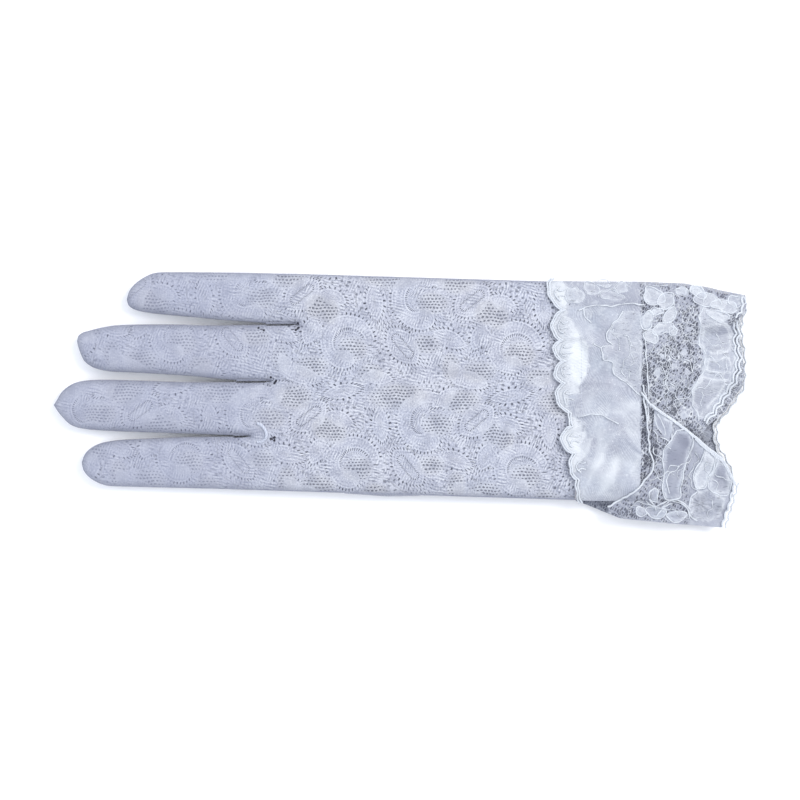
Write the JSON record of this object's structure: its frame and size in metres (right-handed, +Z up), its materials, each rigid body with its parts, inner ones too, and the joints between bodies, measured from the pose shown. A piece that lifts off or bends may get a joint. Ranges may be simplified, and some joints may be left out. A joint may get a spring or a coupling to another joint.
{
  "type": "lace glove",
  "caption": "Wrist-length lace dress glove for the right hand, with a flat folded thumb, seamed fingers and a gathered scalloped lace ruffle at the cuff.",
  "frame": {"origin": "under the middle of the glove's outline, on the surface it lies on", "axes": "+X from the fingertips to the cuff, +Y towards the little finger, +Z up out of the back of the hand"},
  "size_m": [0.2908, 0.1071, 0.0132],
  "materials": {
    "body_lace": "bluish-white stretch lace, matt",
    "side_strip": "bluish-white lace strip, matt",
    "seam_thread": "white overlocked seam",
    "hem_band": "plain white knitted band, soft sheen",
    "ruffle_lace": "openwork white lace",
    "edge_cord": "glossy white twisted cord"
  },
  "bodies": {
    "little_finger_base": {"little_base_back_lace": "body_lace", "little_base_palm_lace": "body_lace", "little_base_side_seam": "seam_thread", "little_base_fourchette": "side_strip"},
    "little_finger_tip": {"little_tip_back_lace": "body_lace", "little_tip_palm_lace": "body_lace", "little_tip_side_seam": "seam_thread", "little_tip_fourchette": "side_strip"},
    "ring_finger_base": {"ring_base_back_lace": "body_lace", "ring_base_palm_lace": "body_lace", "ring_base_outer_fourchette": "side_strip", "ring_base_inner_fourchette": "side_strip"},
    "ring_finger_tip": {"ring_tip_back_lace": "body_lace", "ring_tip_palm_lace": "body_lace", "ring_tip_outer_fourchette": "side_strip", "ring_tip_inner_fourchette": "side_strip"},
    "middle_finger_base": {"middle_base_back_lace": "body_lace", "middle_base_palm_lace": "body_lace", "middle_base_outer_fourchette": "side_strip", "middle_base_inner_fourchette": "side_strip"},
    "middle_finger_tip": {"middle_tip_back_lace": "body_lace", "middle_tip_palm_lace": "body_lace", "middle_tip_outer_fourchette": "side_strip", "middle_tip_inner_fourchette": "side_strip"},
    "index_finger_base": {"index_base_back_lace": "body_lace", "index_base_palm_lace": "body_lace", "index_base_fourchette": "side_strip", "index_base_side_seam": "seam_thread"},
    "index_finger_tip": {"index_tip_back_lace": "body_lace", "index_tip_palm_lace": "body_lace", "index_tip_fourchette": "side_strip", "index_tip_side_seam": "seam_thread"},
    "hand": {"back_of_hand_lace": "body_lace", "palm_lace": "body_lace", "hem_band_back": "hem_band", "hem_band_palm": "hem_band", "little_side_seam": "seam_thread", "index_side_seam_above_thumb": "seam_thread", "index_side_seam_below_thumb": "seam_thread", "little_ring_crotch_gusset": "side_strip", "ring_middle_crotch_gusset": "side_strip", "middle_index_crotch_gusset": "side_strip", "ruffle_heading_back": "ruffle_lace", "ruffle_heading_palm": "ruffle_lace", "ruffle_heading_cord": "edge_cord", "ruffle_stitching_back": "seam_thread", "ruffle_stitching_palm": "seam_thread"},
    "thumb": {"thumb_back_lace": "body_lace", "thumb_palm_lace": "body_lace", "thumb_cuff_side_seam": "seam_thread", "thumb_finger_side_seam": "seam_thread"},
    "ruffle_front": {"ruffle_front_lace": "ruffle_lace", "ruffle_pleat_lace": "ruffle_lace", "ruffle_front_hem_cord": "edge_cord", "ruffle_pleat_hem_cord": "edge_cord"},
    "ruffle_palm": {"ruffle_palm_lace": "ruffle_lace", "ruffle_palm_hem_cord": "edge_cord"}
  },
  "joints": [
    {"name": "little_knuckle", "type": "hinge", "parent": "hand", "child": "little_finger_base", "pos_m": [-0.04897, 0.04305, 0.0032], "axis": [0, -1, 0], "range_deg": [0, 90]},
    {"name": "little_middle_joint", "type": "hinge", "parent": "little_finger_base", "child": "little_finger_tip", "pos_m": [-0.08047, 0.04305, 0], "axis": [0, -1, 0], "range_deg": [0, 100]},
    {"name": "ring_knuckle", "type": "hinge", "parent": "hand", "child": "ring_finger_base", "pos_m": [-0.06115, 0.01995, 0.0032], "axis": [0, -1, 0], "range_deg": [0, 90]},
    {"name": "ring_middle_joint", "type": "hinge", "parent": "ring_finger_base", "child": "ring_finger_tip", "pos_m": [-0.09727, 0.01995, 0], "axis": [0, -1, 0], "range_deg": [0, 100]},
    {"name": "middle_knuckle", "type": "hinge", "parent": "hand", "child": "middle_finger_base", "pos_m": [-0.07375, -0.00357, 0.0032], "axis": [0, -1, 0], "range_deg": [0, 90]},
    {"name": "middle_middle_joint", "type": "hinge", "parent": "middle_finger_base", "child": "middle_finger_tip", "pos_m": [-0.10819, -0.00357, 0], "axis": [0, -1, 0], "range_deg": [0, 100]},
    {"name": "index_knuckle", "type": "hinge", "parent": "hand", "child": "index_finger_base", "pos_m": [-0.07459, -0.02667, 0.0032], "axis": [0, -1, 0], "range_deg": [0, 90]},
    {"name": "index_middle_joint", "type": "hinge", "parent": "index_finger_base", "child": "index_finger_tip", "pos_m": [-0.10273, -0.02667, 0], "axis": [0, -1, 0], "range_deg": [0, 100]},
    {"name": "thumb_unfold", "type": "hinge", "parent": "hand", "child": "thumb", "pos_m": [-0.00739, -0.03968, 0.003], "axis": [-0.9995, 0.0311, 0], "range_deg": [0, 180]},
    {"name": "ruffle_front_turn_back", "type": "hinge", "parent": "hand", "child": "ruffle_front", "pos_m": [0.1012, 0, 0.0133], "axis": [0, -1, 0], "range_deg": [0, 150]},
    {"name": "ruffle_palm_turn_back", "type": "hinge", "parent": "hand", "child": "ruffle_palm", "pos_m": [0.1012, 0, 0], "axis": [0, 1, 0], "range_deg": [0, 150]}
  ]
}
